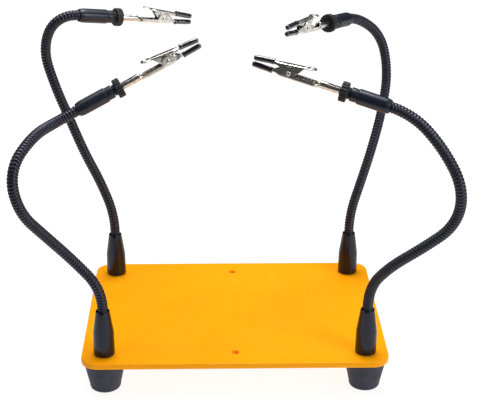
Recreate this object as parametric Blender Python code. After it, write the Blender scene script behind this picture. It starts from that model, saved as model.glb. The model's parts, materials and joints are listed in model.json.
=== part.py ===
"""Helping hands clamp: a steel base plate on four feet, with four goosenecks that each end in a clip.

Metres, +Z up.  The origin is on the bench, under the middle of the base plate.
The long side of the plate runs along X, and its front edge faces -Y.
Each arm is divided into three ball-ended lengths of gooseneck, an end sleeve, a swivelling nut
and a sprung alligator clip.  Every moving group hangs on an empty that lies on its joint, with
the joint's axis along the empty's Z.
"""
import math

import bmesh
import bpy
from mathutils import Matrix, Vector

# Base plate and what is screwed to its corners.
PLATE_LENGTH = 0.200
PLATE_DEPTH = 0.146
PLATE_THICKNESS = 0.004
PLATE_CORNER_RADIUS = 0.011
PLATE_EDGE_BREAK = 0.0005
CORNER_STEPS = 5
CENTRE_HOLE_RADIUS = 0.0024
CENTRE_HOLE_SPACING = 0.117
POST_INSET_X = 0.0148
POST_INSET_Y = 0.0144
FOOT_HEIGHT = 0.0200
FOOT_TOP_RADIUS = 0.0138
FOOT_BOTTOM_RADIUS = 0.0098
FOOT_WALL = 0.0050
FOOT_EDGE_RADIUS = 0.0015
SCREW_RADIUS = 0.0020
SCREW_HEAD_RADIUS = 0.0040
SCREW_HEAD_HEIGHT = 0.0028
SCREW_HEAD_EDGE = 0.0012
SCREW_POINT = 0.0006
SCREW_REACH = 0.0090
SCREW_CLEARANCE = 0.0004
COLLAR_RADIUS = 0.0069
COLLAR_TOP_RADIUS = 0.0044
COLLAR_SHOULDER = 0.0150
COLLAR_HEIGHT = 0.0312
COLLAR_SHOULDER_ROUND = 0.0012
COLLAR_SHOULDER_STEP = 0.0004
COLLAR_LIP = 0.0003

# Arms.
GOOSENECK_RADIUS = 0.0035
GOOSENECK_LENGTH = 0.186
GOOSENECK_PIECES = 3
TUBE_SIDES = 10
BALL_RISE = 0.0015
SOCKET_RADIUS = 0.0038
SOCKET_DEPTH = 0.0060
SLEEVE_RADIUS = 0.0048
SLEEVE_LENGTH = 0.0250
SLEEVE_RING = 0.0045
SLEEVE_TAPER = 0.0028
SLEEVE_EDGE = 0.0005
SLEEVE_WALL = 0.0004
SLEEVE_GROOVE_DEPTH = 0.0004
NUT_NECK_LENGTH = 0.0015
NUT_NECK_RADIUS = 0.0036
NUT_RADIUS = 0.0062
NUT_LENGTH = 0.0045
NUT_RIDGES = 16
NUT_RIDGE_DEPTH = 0.0003
NUT_BEVEL = 0.0006
NUT_PLUG_RADIUS = 0.00130
NUT_PLUG_LENGTH = 0.0080
GAP = 0.0003
CUT_OVERSHOOT = 0.0010

# Clip, in its own frame: X runs from the barrel's rear end to the jaw tips, Z is the thumb pad's side.
SHEET = 0.00065
BARREL_RADIUS = 0.0024
BARREL_LENGTH = 0.0125
BARREL_SLOT = 0.0014
PIVOT_X = 0.0324
PIVOT_Z = 0.0009
EAR_RADIUS = 0.0042
PIN_RADIUS = 0.0008
PIN_HEAD_RADIUS = 0.0015
PIN_HEAD_THICKNESS = 0.0007
PIN_HOLE_RADIUS = 0.0011
BODY_HALF_WIDTH = 0.0033
JAW_HALF_WIDTH = 0.0023
NOSE_HALF_WIDTH = 0.00095
NOSE_HEIGHT = 0.0013
NOSE_END_X = 0.0542
CHANNEL_RIM = 0.0002
FIXED_NOSE_Z = -0.0020
FIXED_NOSE_RISE = 0.0002
JAW_TOP_Z = 0.0062
JAW_SLOPE = 0.115
JAW_LOBE_DROP = 0.0017
JAW_SKIRT = 0.0014
THUMB_PAD_X = 0.0200
THUMB_PAD_RADIUS = 0.0036
THUMB_HOLE_RADIUS = 0.0014
COVER_START_X = 0.0425
COVER_LENGTH = 0.0130
COVER_RADIUS = 0.0019
COVER_BORE = 0.0015
COVER_TIP = 0.0010
COVER_TIP_RADIUS = 0.0012
SPRING_RADIUS = 0.0019
SPRING_BORE = 0.0012
SPRING_HALF_WIDTH = 0.0012

# Each arm's corner of the plate, and the gooseneck's headings at equal stations from the collar to
# the sleeve.  A heading is a tilt from the vertical and a compass angle from +X, in degrees.
ARMS = {
    "front_left": (
        (-1, -1),
        ((0, 0), (40, 180), (40, -150), (40, -140), (10, -140), (60, 60), (90, 65), (65, 15)),
    ),
    "front_right": (
        (1, -1),
        ((0, 0), (39, -53), (49, -31), (47, -22), (16, -79), (36, 140), (56, 136), (76, 164)),
    ),
    "rear_left": (
        (-1, 1),
        ((0, 0), (20, 170), (25, -150), (20, 180), (20, -175), (15, 175), (30, -40), (100, 30)),
    ),
    "rear_right": (
        (1, 1),
        ((0, 0), (18, 19), (24, 42), (30, 58), (24, 68), (14, 146), (55, -148), (83, -123)),
    ),
}

# Heights that follow from the sizes above.
PLATE_BOTTOM = FOOT_HEIGHT + GAP
PLATE_TOP = PLATE_BOTTOM + PLATE_THICKNESS
COLLAR_BOTTOM = PLATE_TOP + GAP
BALL_HEIGHT = COLLAR_BOTTOM + COLLAR_HEIGHT + BALL_RISE
CLIP_START = SLEEVE_LENGTH + NUT_NECK_LENGTH + NUT_LENGTH + 2 * GAP
SHARP_ANGLE = math.radians(35)
Z_TO_X = Matrix.Rotation(math.radians(90), 4, "Y")
Z_TO_Y = Matrix.Rotation(math.radians(-90), 4, "X")


def clear_scene():
    """Start from an empty file, whatever was open."""
    for thing in list(bpy.data.objects):
        bpy.data.objects.remove(thing)


def make_material(name, colour, roughness, metallic):
    """A plain Principled finish."""
    material = bpy.data.materials.new(name)
    material.use_nodes = True
    shader = material.node_tree.nodes["Principled BSDF"]
    shader.inputs["Base Color"].default_value = (*colour, 1.0)
    shader.inputs["Roughness"].default_value = roughness
    shader.inputs["Metallic"].default_value = metallic
    return material


def make_mesh(name, shape):
    """Turn a finished bmesh into a mesh with faces pointing out and round parts smooth."""
    bmesh.ops.recalc_face_normals(shape, faces=shape.faces)
    mesh = bpy.data.meshes.new(name)
    shape.to_mesh(mesh)
    shape.free()
    return mesh


def place(name, mesh, material, frame, parent=None):
    """Add one piece to the scene, at a frame in world space."""
    mesh.shade_smooth()
    mesh.set_sharp_from_angle(angle=SHARP_ANGLE)
    if not mesh.materials:
        mesh.materials.append(material)
    piece = bpy.data.objects.new(name, mesh)
    bpy.context.scene.collection.objects.link(piece)
    attach(piece, frame, parent)
    return piece


def attach(thing, frame, parent):
    """Put a thing at a frame in world space, under a parent whose world frame is already set."""
    if parent is None:
        thing.matrix_basis = frame
        return
    thing.parent = parent
    bpy.context.view_layer.update()
    thing.matrix_basis = parent.matrix_world.inverted() @ frame


def add_joint(name, centre, axis, parent):
    """An empty on a joint's centre, with its Z along the joint's axis."""
    joint = bpy.data.objects.new(name, None)
    joint.empty_display_size = 0.01
    bpy.context.scene.collection.objects.link(joint)
    turn = axis.to_track_quat("Z", "Y").to_matrix().to_4x4()
    attach(joint, Matrix.Translation(centre) @ turn, parent)
    bpy.context.view_layer.update()
    return joint


def bridge(shape, first, second):
    """Join two rings of the same count, or a ring and a single point."""
    count = max(len(first), len(second))
    for index in range(count):
        following = (index + 1) % count
        corners = [first[index % len(first)], first[following % len(first)]]
        corners += [second[following % len(second)], second[index % len(second)]]
        distinct = list(dict.fromkeys(corners))
        shape.faces.new(distinct)


def turned(name, profile, sides):
    """A solid of revolution about Z.  Without ends on the axis, the profile closes on itself."""
    shape = bmesh.new()
    rings = []
    for radius, height in profile:
        if radius == 0:
            rings.append([shape.verts.new((0, 0, height))])
            continue
        turns = [2 * math.pi * step / sides for step in range(sides)]
        rings.append([shape.verts.new((radius * math.cos(a), radius * math.sin(a), height)) for a in turns])
    for lower, upper in zip(rings, rings[1:]):
        bridge(shape, lower, upper)
    if profile[0][0] > 0:
        bridge(shape, rings[-1], rings[0])
    return make_mesh(name, shape)


def lofted(name, sections):
    """A solid through closed sections of equal point counts, with flat ends."""
    shape = bmesh.new()
    rings = [[shape.verts.new(point) for point in section] for section in sections]
    for lower, upper in zip(rings, rings[1:]):
        bridge(shape, lower, upper)
    shape.faces.new(reversed(rings[0]))
    shape.faces.new(rings[-1])
    return make_mesh(name, shape)


def combined(mesh, tools):
    """The mesh after each tool in turn is cut from it or joined to it, as (operation, mesh) pairs."""
    base = bpy.data.objects.new("blank", mesh)
    bpy.context.scene.collection.objects.link(base)
    helpers = []
    for operation, tool_mesh in tools:
        helper = bpy.data.objects.new("tool", tool_mesh)
        bpy.context.scene.collection.objects.link(helper)
        helper.hide_render = True
        helper.display_type = "WIRE"
        modifier = base.modifiers.new("Boolean", "BOOLEAN")
        modifier.operation = operation
        modifier.solver = "EXACT"
        modifier.object = helper
        helpers.append(helper)
    bpy.context.view_layer.update()
    graph = bpy.context.evaluated_depsgraph_get()
    result = bpy.data.meshes.new_from_object(base.evaluated_get(graph))
    for thing in [base, *helpers]:
        bpy.data.objects.remove(thing)
    result.name = mesh.name
    return result


def moved(mesh, frame):
    """The same mesh after a change of frame."""
    mesh.transform(frame)
    return mesh


def cylinder(radius, low, high, sides):
    """A plain round bar about Z."""
    return turned("bar", [(0, low), (radius, low), (radius, high), (0, high)], sides)


def arc(centre, radius, start, end, steps):
    """Points on an arc, in degrees, both ends included."""
    angles = [math.radians(start + (end - start) * step / steps) for step in range(steps + 1)]
    return [(centre[0] + radius * math.cos(a), centre[1] + radius * math.sin(a)) for a in angles]


def rounded_rectangle(half_length, half_depth, radius, steps):
    """Corner arcs of a rounded rectangle, anticlockwise."""
    outline = []
    for quarter, (side_x, side_y) in enumerate(((1, 1), (-1, 1), (-1, -1), (1, -1))):
        centre = (side_x * (half_length - radius), side_y * (half_depth - radius))
        outline += arc(centre, radius, 90 * quarter, 90 * quarter + 90, steps)
    return outline


def post_position(corner):
    """Where the screw's axis meets a corner of the plate."""
    side_x, side_y = corner
    return side_x * (PLATE_LENGTH / 2 - POST_INSET_X), side_y * (PLATE_DEPTH / 2 - POST_INSET_Y)


def base_plate():
    """Rounded plate with broken edges, four screw holes and two small holes on the middle line.

    The top has a panel of its own between the posts, the clear area that something can lie on.
    """
    inset = PLATE_EDGE_BREAK
    levels = ((PLATE_BOTTOM, inset), (PLATE_BOTTOM + inset, 0), (PLATE_TOP - inset, 0), (PLATE_TOP, inset))
    sections = []
    for height, step_in in levels:
        half = (PLATE_LENGTH / 2 - step_in, PLATE_DEPTH / 2 - step_in)
        outline = rounded_rectangle(*half, PLATE_CORNER_RADIUS - step_in, CORNER_STEPS)
        sections.append([(x, y, height) for x, y in outline])
    panel_half = (PLATE_LENGTH / 2 - 2 * POST_INSET_X, PLATE_DEPTH / 2 - 2 * POST_INSET_Y)
    panel = rounded_rectangle(*panel_half, PLATE_CORNER_RADIUS, CORNER_STEPS)
    sections.append([(x, y, PLATE_TOP) for x, y in panel])
    holes = [(post_position(corner), SCREW_RADIUS + SCREW_CLEARANCE) for corner, _ in ARMS.values()]
    holes += [((0, side * CENTRE_HOLE_SPACING / 2), CENTRE_HOLE_RADIUS) for side in (-1, 1)]
    cuts = []
    for (x, y), radius in holes:
        bar = cylinder(radius, PLATE_BOTTOM - CUT_OVERSHOOT, PLATE_TOP + CUT_OVERSHOOT, 12)
        cuts.append(("DIFFERENCE", moved(bar, Matrix.Translation((x, y, 0)))))
    return combined(lofted("base_plate", sections), cuts)


def foot():
    """Tapered rubber foot, with a counterbore from below for its screw."""
    bore = SCREW_RADIUS + SCREW_CLEARANCE
    recess = FOOT_BOTTOM_RADIUS - FOOT_WALL
    ceiling = FOOT_HEIGHT / 2
    edge_centre = (FOOT_BOTTOM_RADIUS - FOOT_EDGE_RADIUS, FOOT_EDGE_RADIUS)
    soft_edge = arc(edge_centre, FOOT_EDGE_RADIUS, -90, -10, 2)
    outside = [*soft_edge, (FOOT_TOP_RADIUS, FOOT_HEIGHT)]
    inside = [(bore, FOOT_HEIGHT), (bore, ceiling), (recess, ceiling), (recess, 0)]
    return turned("foot", [*outside, *inside], 20)


def foot_screw():
    """Pan-head screw that runs up through the foot and the plate into the collar."""
    seat = FOOT_HEIGHT / 2 - GAP
    low = seat - SCREW_HEAD_HEIGHT
    top = COLLAR_BOTTOM + SCREW_REACH
    dome = arc((SCREW_HEAD_RADIUS - SCREW_HEAD_EDGE, low + SCREW_HEAD_EDGE), SCREW_HEAD_EDGE, -90, 0, 2)
    profile = [(0, low), *dome, (SCREW_HEAD_RADIUS, seat), (SCREW_RADIUS, seat)]
    profile += [(SCREW_RADIUS, top - SCREW_POINT), (SCREW_RADIUS - SCREW_POINT, top), (0, top)]
    return turned("foot_screw", profile, 12)


def base_collar():
    """Post that holds the gooseneck: a cylinder that tapers to a socket for the first ball end."""
    low = COLLAR_BOTTOM
    high = low + COLLAR_HEIGHT
    bore = SCREW_RADIUS + SCREW_CLEARANCE
    hole_end = low + SCREW_REACH + CUT_OVERSHOOT
    shoulder = low + COLLAR_SHOULDER
    outside = [
        (COLLAR_RADIUS, low),
        (COLLAR_RADIUS, shoulder),
        (COLLAR_RADIUS - COLLAR_SHOULDER_STEP, shoulder + COLLAR_SHOULDER_ROUND),
        (COLLAR_TOP_RADIUS + COLLAR_LIP, high - COLLAR_SHOULDER_ROUND),
        (COLLAR_TOP_RADIUS, high),
    ]
    socket = [(SOCKET_RADIUS, high), (SOCKET_RADIUS, high - SOCKET_DEPTH), (0, high - SOCKET_DEPTH)]
    screw_hole = [(0, hole_end), (bore, hole_end), (bore, low)]
    return turned("base_collar", [*screw_hole, *outside, *socket], 20)


def heading_vector(heading):
    """Unit vector for a tilt from the vertical and a compass angle, in degrees."""
    tilt, compass = (math.radians(angle) for angle in heading)
    return Vector((math.sin(tilt) * math.cos(compass), math.sin(tilt) * math.sin(compass), math.cos(tilt)))


def direction_at(headings, share):
    """The gooseneck's direction at a share of its length, turning evenly between stations."""
    place_along = min(max(share, 0.0), 1.0) * (len(headings) - 1)
    station = min(int(place_along), len(headings) - 2)
    before, after = (heading_vector(heading) for heading in headings[station:station + 2])
    return before.lerp(after, place_along - station).normalized()


def gooseneck_point(start, headings, length, steps=96):
    """The point at a length along the gooseneck; past its end it goes straight on."""
    point = start.copy()
    step = length / steps
    for index in range(steps):
        point += direction_at(headings, (index + 0.5) * step / GOOSENECK_LENGTH) * step
    return point


def gooseneck_piece(name, start, headings, first, last):
    """One length of gooseneck: a ball centred on its joint at the first end, and a flat last end."""
    ball = arc((0, 0), GOOSENECK_RADIUS, -90, 0, 3)[1:]
    rows = [(first, radius, along) for radius, along in ball]
    count = round((last - first) / (2.2 * GOOSENECK_RADIUS))
    rows += [(first + (last - first) * step / count, GOOSENECK_RADIUS, 0) for step in range(1, count + 1)]
    shape = bmesh.new()
    aim = direction_at(headings, first / GOOSENECK_LENGTH)
    side = aim.orthogonal().normalized()
    rings = [[shape.verts.new(gooseneck_point(start, headings, first) - aim * GOOSENECK_RADIUS)]]
    for length, radius, along in rows:
        turn_aim = direction_at(headings, length / GOOSENECK_LENGTH)
        side = aim.rotation_difference(turn_aim) @ side
        aim = turn_aim
        centre = gooseneck_point(start, headings, length) + aim * along
        angles = [2 * math.pi * step / TUBE_SIDES for step in range(TUBE_SIDES)]
        rings.append([shape.verts.new(centre + Matrix.Rotation(a, 3, aim) @ side * radius) for a in angles])
    for lower, upper in zip(rings, rings[1:]):
        bridge(shape, lower, upper)
    shape.faces.new(rings[-1])
    return make_mesh(name, shape)


def end_sleeve():
    """Sleeve on the gooseneck's end, with a bore for it and a grooved ring at the nut's side."""
    ring = SLEEVE_LENGTH - SLEEVE_RING
    groove_radius = SLEEVE_RADIUS - SLEEVE_GROOVE_DEPTH
    outside = [
        (SOCKET_RADIUS + SLEEVE_WALL, 0),
        (SLEEVE_RADIUS, SLEEVE_TAPER),
        (SLEEVE_RADIUS, ring - 0.0005),
        (groove_radius, ring - 0.0003),
        (groove_radius, ring),
        (SLEEVE_RADIUS, ring + 0.0002),
        (SLEEVE_RADIUS, SLEEVE_LENGTH - SLEEVE_EDGE),
        (SLEEVE_RADIUS - SLEEVE_EDGE, SLEEVE_LENGTH),
        (0, SLEEVE_LENGTH),
    ]
    inside = [(0, SOCKET_DEPTH), (SOCKET_RADIUS, SOCKET_DEPTH), (SOCKET_RADIUS, 0)]
    return moved(turned("end_sleeve", [*inside, *outside], 16), Z_TO_X)


def swivel_nut():
    """Ridged thumb nut: a neck against the sleeve, the round nut, and a plug that holds the clip's barrel."""
    disc = NUT_NECK_LENGTH + NUT_LENGTH
    bevel = NUT_BEVEL
    levels = [(NUT_NECK_LENGTH, bevel), (NUT_NECK_LENGTH + bevel, 0), (disc - bevel, 0), (disc, bevel)]
    sections = []
    for along, step_in in levels:
        section = []
        for step in range(2 * NUT_RIDGES):
            radius = NUT_RADIUS - step_in - (NUT_RIDGE_DEPTH if step % 2 else 0)
            angle = math.pi * step / NUT_RIDGES
            section.append((radius * math.cos(angle), radius * math.sin(angle), along))
        sections.append(section)
    neck = cylinder(NUT_NECK_RADIUS, 0, NUT_NECK_LENGTH + bevel, 12)
    plug = cylinder(NUT_PLUG_RADIUS, disc - bevel, disc + NUT_PLUG_LENGTH, 8)
    nut = combined(lofted("swivel_nut", sections), [("UNION", neck), ("UNION", plug)])
    return moved(nut, Z_TO_X)


def channel_section(x, half_width, floor, rim):
    """Section of a folded sheet at one place along X: a floor and two walls that reach to the rim."""
    inner = half_width - SHEET
    lift = SHEET if rim > floor else -SHEET
    outer_wall = [(x, -half_width, rim), (x, -half_width, floor), (x, half_width, floor), (x, half_width, rim)]
    inner_wall = [(x, inner, rim), (x, inner, floor + lift), (x, -inner, floor + lift), (x, -inner, rim)]
    return outer_wall + inner_wall


def ear_rim(x):
    """Height of the ears that stand around the pivot, as an arc about it."""
    return PIVOT_Z + math.sqrt(EAR_RADIUS ** 2 - (x - PIVOT_X) ** 2)


def pivot_bar(radius, half_width, sides):
    """A bar across the clip, on the pivot's axis."""
    bar = moved(cylinder(radius, -half_width, half_width, sides), Z_TO_Y)
    return moved(bar, Matrix.Translation((PIVOT_X, 0, PIVOT_Z)))


def clip_body():
    """Split barrel, open channel, two ears for the pivot and the fixed jaw's nose, folded from one sheet."""
    floor = -BARREL_RADIUS
    nose = NOSE_HALF_WIDTH
    nose_end_floor = FIXED_NOSE_Z + FIXED_NOSE_RISE
    sections = [
        channel_section(BARREL_LENGTH - 0.0010, 0.0020, floor, -CHANNEL_RIM),
        channel_section(BARREL_LENGTH + 0.0015, 0.0026, floor, 0),
        channel_section(BARREL_LENGTH + 0.0045, BODY_HALF_WIDTH, floor, CHANNEL_RIM),
        channel_section(PIVOT_X - EAR_RADIUS - 0.0012, BODY_HALF_WIDTH, floor, CHANNEL_RIM),
    ]
    for share in (-0.93, -0.75, -0.4, 0, 0.4, 0.75, 0.93):
        x = PIVOT_X + share * EAR_RADIUS
        sections.append(channel_section(x, BODY_HALF_WIDTH, floor, ear_rim(x)))
    sections += [
        channel_section(PIVOT_X + EAR_RADIUS + 0.0020, BODY_HALF_WIDTH - 0.0004, floor, -0.0006),
        channel_section(COVER_START_X - 0.0012, 0.0017, floor + 0.0002, -0.0008),
        channel_section(COVER_START_X - 0.0004, nose, FIXED_NOSE_Z, FIXED_NOSE_Z + NOSE_HEIGHT),
        channel_section(NOSE_END_X, nose, nose_end_floor, nose_end_floor + NOSE_HEIGHT),
    ]
    inner = BARREL_RADIUS - SHEET
    ring = [(inner, 0), (BARREL_RADIUS, 0), (BARREL_RADIUS, BARREL_LENGTH), (inner, BARREL_LENGTH)]
    barrel = moved(turned("barrel", ring, 12), Z_TO_X)
    slot_half = BARREL_SLOT / 2
    corners = [(-slot_half, 0.0005), (slot_half, 0.0005), (slot_half, 0.0040), (-slot_half, 0.0040)]
    slot_ends = (-CUT_OVERSHOOT, BARREL_LENGTH + CUT_OVERSHOOT)
    slot = lofted("slot", [[(x, y, z) for y, z in corners] for x in slot_ends])
    hole = pivot_bar(PIN_HOLE_RADIUS, 2 * BODY_HALF_WIDTH, 10)
    barrel = combined(barrel, [("DIFFERENCE", slot)])
    return combined(lofted("clip_body", sections), [("UNION", barrel), ("DIFFERENCE", hole)])


def jaw_top(x):
    """Height of the moving jaw's top sheet, which falls towards the tip."""
    return JAW_TOP_Z - JAW_SLOPE * (x - PIVOT_X)


def clip_jaw():
    """Moving jaw: a thumb pad with a hole, two flanges that drop between the ears, and a nose."""
    lobe = PIVOT_Z - JAW_LOBE_DROP
    wide = JAW_HALF_WIDTH
    nose = NOSE_HALF_WIDTH
    thin = SHEET + 0.00015
    flanges = [
        (THUMB_PAD_X + 0.0010, 0.0015, jaw_top(THUMB_PAD_X + 0.0010) - thin),
        (THUMB_PAD_X + 0.0050, wide, jaw_top(THUMB_PAD_X + 0.0050) - thin),
        (PIVOT_X - 0.0046, wide, jaw_top(PIVOT_X - 0.0046) - JAW_SKIRT),
        (PIVOT_X - 0.0034, wide, 0.0030),
        (PIVOT_X - 0.0012, wide, lobe),
        (PIVOT_X + 0.0012, wide, lobe),
        (PIVOT_X + 0.0050, wide, 0.0028),
        (COVER_START_X - 0.0014, 0.0018, jaw_top(COVER_START_X) - JAW_SKIRT),
        (COVER_START_X - 0.0004, nose, jaw_top(COVER_START_X) - NOSE_HEIGHT),
        (NOSE_END_X, nose, jaw_top(NOSE_END_X) - NOSE_HEIGHT),
    ]
    strip = lofted("clip_jaw", [channel_section(x, half, jaw_top(x), low) for x, half, low in flanges])
    tilt = Matrix.Rotation(math.atan(JAW_SLOPE), 4, "Y")
    pad_frame = Matrix.Translation((THUMB_PAD_X, 0, jaw_top(THUMB_PAD_X))) @ tilt
    pad = moved(cylinder(THUMB_PAD_RADIUS, -SHEET - 0.0001, 0.0001, 16), pad_frame)
    thumb_hole = moved(cylinder(THUMB_HOLE_RADIUS, -2 * CUT_OVERSHOOT, 2 * CUT_OVERSHOOT, 10), pad_frame)
    pivot_hole = pivot_bar(PIN_HOLE_RADIUS, 2 * BODY_HALF_WIDTH, 10)
    return combined(strip, [("UNION", pad), ("DIFFERENCE", thumb_hole), ("DIFFERENCE", pivot_hole)])


def clip_pin():
    """Rivet through the ears and the flanges, with a head outside each ear."""
    inside = BODY_HALF_WIDTH + GAP
    outside = inside + PIN_HEAD_THICKNESS
    half = [(PIN_RADIUS, inside), (PIN_HEAD_RADIUS, inside), (PIN_HEAD_RADIUS - 0.0002, outside), (0, outside)]
    profile = [(radius, -along) for radius, along in reversed(half)] + half
    pin = moved(turned("clip_pin", profile, 10), Z_TO_Y)
    return moved(pin, Matrix.Translation((PIVOT_X, 0, PIVOT_Z)))


def clip_spring():
    """The outer shape of the torsion spring's coil, around the rivet between the flanges."""
    half = SPRING_HALF_WIDTH
    ring = [(SPRING_BORE, -half), (SPRING_RADIUS, -half), (SPRING_RADIUS, half), (SPRING_BORE, half)]
    coil = moved(turned("clip_spring", ring, 12), Z_TO_Y)
    return moved(coil, Matrix.Translation((PIVOT_X, 0, PIVOT_Z)))


def jaw_cover(name, rear, front):
    """Soft sleeve over a jaw's nose: closed at the tip, open at the rear, along a line in the XZ plane."""
    tip_centre = (COVER_RADIUS - COVER_TIP_RADIUS, COVER_LENGTH - COVER_TIP_RADIUS)
    tip = arc(tip_centre, COVER_TIP_RADIUS, 0, 90, 2)
    inside = COVER_LENGTH - COVER_TIP
    profile = [(0, inside), (COVER_BORE, inside), (COVER_BORE, 0), (COVER_RADIUS, 0), *tip, (0, COVER_LENGTH)]
    cover = moved(turned(name, profile, 12), Z_TO_X)
    rise = (front[1] - rear[1]) / (front[0] - rear[0])
    lean = Matrix.Rotation(-math.atan(rise), 4, "Y")
    return moved(cover, Matrix.Translation((rear[0], 0, rear[1])) @ lean)


def fixed_jaw_cover():
    """Cover on the fixed jaw, centred on its nose."""
    middle = FIXED_NOSE_Z + NOSE_HEIGHT / 2
    return jaw_cover("fixed_jaw_cover", (COVER_START_X, middle), (NOSE_END_X, middle + FIXED_NOSE_RISE))


def moving_jaw_cover():
    """Cover on the moving jaw, centred on its nose."""
    half = NOSE_HEIGHT / 2
    ends = [(x, jaw_top(x) - half) for x in (COVER_START_X, NOSE_END_X)]
    return jaw_cover("moving_jaw_cover", *ends)


def sideways_axis(direction):
    """The axis square to a direction, in its vertical plane, that swings what follows sideways."""
    up = Vector((0, 0, 1))
    return (up - up.dot(direction) * direction).normalized()


def build_arm(name, corner, headings, meshes, finishes):
    """One arm, from its collar and foot to its clip, with an empty on each joint."""
    x, y = post_position(corner)
    at_post = Matrix.Translation((x, y, 0))
    place(f"{name}_foot", meshes["foot"], finishes["foot_rubber"], at_post)
    place(f"{name}_foot_screw", meshes["foot_screw"], finishes["screw_steel"], at_post)
    place(f"{name}_base_collar", meshes["base_collar"], finishes["collar_black"], at_post)

    start = Vector((x, y, BALL_HEIGHT))
    end = gooseneck_point(start, headings, GOOSENECK_LENGTH)
    end_direction = direction_at(headings, 1)
    outward = Vector((x, y, 0)).normalized()
    piece_length = GOOSENECK_LENGTH / GOOSENECK_PIECES
    centres = [gooseneck_point(start, headings, piece_length * step) for step in range(GOOSENECK_PIECES)]
    reach = end + end_direction * CLIP_START - centres[-1]
    reach.z = 0
    lean_axis = Vector((0, 0, 1)).cross(outward)
    swing_axis = sideways_axis(direction_at(headings, 1 / GOOSENECK_PIECES))
    nod_axis = reach.normalized().cross(Vector((0, 0, 1)))
    parent = None
    levels = zip(("lower", "middle", "upper"), (lean_axis, swing_axis, nod_axis))
    for step, (level, axis) in enumerate(levels):
        parent = add_joint(f"{name}_{level}_bend", centres[step], axis, parent)
        last = (step + 1) * piece_length - GOOSENECK_RADIUS - GAP
        if level == "upper":
            last = GOOSENECK_LENGTH + SOCKET_DEPTH - GAP
        neck = gooseneck_piece(f"{name}_gooseneck_{level}", start, headings, step * piece_length, last)
        place(f"{name}_gooseneck_{level}", neck, finishes["gooseneck_black"], Matrix.Identity(4), parent)

    side = Vector((0, 0, 1)).cross(end_direction).normalized()
    up = end_direction.cross(side)
    turn = Matrix((end_direction, side, up)).transposed().to_4x4()
    arm_end = Matrix.Translation(end) @ turn
    nut_frame = arm_end @ Matrix.Translation((SLEEVE_LENGTH + GAP, 0, 0))
    clip_frame = arm_end @ Matrix.Translation((CLIP_START, 0, 0))
    place(f"{name}_end_sleeve", meshes["end_sleeve"], finishes["sleeve_black"], arm_end, parent)
    swivel = add_joint(f"{name}_clip_swivel", nut_frame.translation, end_direction, parent)
    place(f"{name}_swivel_nut", meshes["swivel_nut"], finishes["sleeve_black"], nut_frame, swivel)
    place(f"{name}_clip_body", meshes["clip_body"], finishes["nickel_steel"], clip_frame, swivel)
    place(f"{name}_clip_pin", meshes["clip_pin"], finishes["nickel_steel"], clip_frame, swivel)
    place(f"{name}_clip_spring", meshes["clip_spring"], finishes["spring_steel"], clip_frame, swivel)
    place(f"{name}_fixed_jaw_cover", meshes["fixed_jaw_cover"], finishes["cover_black"], clip_frame, swivel)
    pivot = clip_frame @ Vector((PIVOT_X, 0, PIVOT_Z))
    hinge = add_joint(f"{name}_jaw_hinge", pivot, -side, swivel)
    place(f"{name}_clip_jaw", meshes["clip_jaw"], finishes["nickel_steel"], clip_frame, hinge)
    place(f"{name}_moving_jaw_cover", meshes["moving_jaw_cover"], finishes["cover_black"], clip_frame, hinge)


def main():
    """Build the whole clamp."""
    clear_scene()
    finishes = {
        "orange_powder_coat": make_material("orange_powder_coat", (1.0, 0.40, 0.01), 0.35, 0.0),
        "foot_rubber": make_material("foot_rubber", (0.035, 0.038, 0.050), 0.60, 0.0),
        "screw_steel": make_material("screw_steel", (0.45, 0.45, 0.46), 0.35, 1.0),
        "collar_black": make_material("collar_black", (0.012, 0.012, 0.014), 0.22, 0.0),
        "gooseneck_black": make_material("gooseneck_black", (0.020, 0.020, 0.022), 0.40, 0.0),
        "sleeve_black": make_material("sleeve_black", (0.014, 0.015, 0.018), 0.32, 0.0),
        "nickel_steel": make_material("nickel_steel", (0.62, 0.60, 0.57), 0.22, 1.0),
        "spring_steel": make_material("spring_steel", (0.30, 0.29, 0.28), 0.35, 1.0),
        "cover_black": make_material("cover_black", (0.012, 0.012, 0.016), 0.38, 0.0),
    }
    makers = (foot, foot_screw, base_collar, end_sleeve, swivel_nut, clip_body, clip_jaw, clip_pin)
    makers += (clip_spring, fixed_jaw_cover, moving_jaw_cover)
    meshes = {maker.__name__: maker() for maker in makers}
    place("base_plate", base_plate(), finishes["orange_powder_coat"], Matrix.Identity(4))
    for name, (corner, headings) in ARMS.items():
        build_arm(name, corner, headings, meshes, finishes)


main()
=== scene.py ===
"""The finished look of the helping hands clamp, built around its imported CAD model.

Metres, in the same frame as the CAD: +Z up, the origin on the bench under the middle of the plate.
"""
import json
import math

import bmesh
import bpy
from mathutils import Matrix, Vector


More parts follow.
